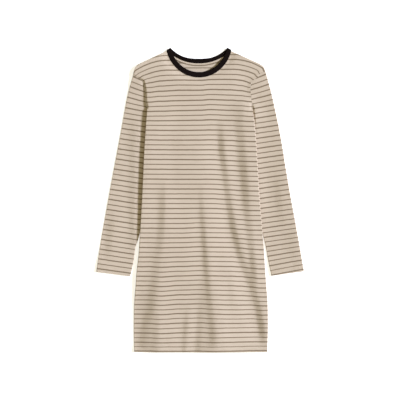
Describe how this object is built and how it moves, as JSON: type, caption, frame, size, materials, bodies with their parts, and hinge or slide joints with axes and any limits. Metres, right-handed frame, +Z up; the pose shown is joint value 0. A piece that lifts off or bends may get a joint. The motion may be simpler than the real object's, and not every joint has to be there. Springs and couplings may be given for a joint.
{
  "type": "nightshirt",
  "caption": "Long-sleeved knee-length nightshirt in striped jersey with a ribbed round neckband, laid out flat on its back.",
  "frame": {"origin": "middle of the laid-out outline, on the surface that the garment lies on", "axes": "+X to the right of the picture, +Y from the hem toward the neck, +Z up from the surface, out of the front"},
  "size_m": [0.6086, 0.8909, 0.0136],
  "materials": {
    "striped_jersey": "fine cotton jersey, sand ground with dark grey-brown horizontal stripes, thick and thin in turn",
    "black_rib": "black one by one rib, folded double"
  },
  "bodies": {
    "root": {"front": "striped_jersey", "back": "striped_jersey", "sleeve_left": "striped_jersey", "sleeve_right": "striped_jersey", "neckband": "black_rib"}
  },
  "joints": []
}
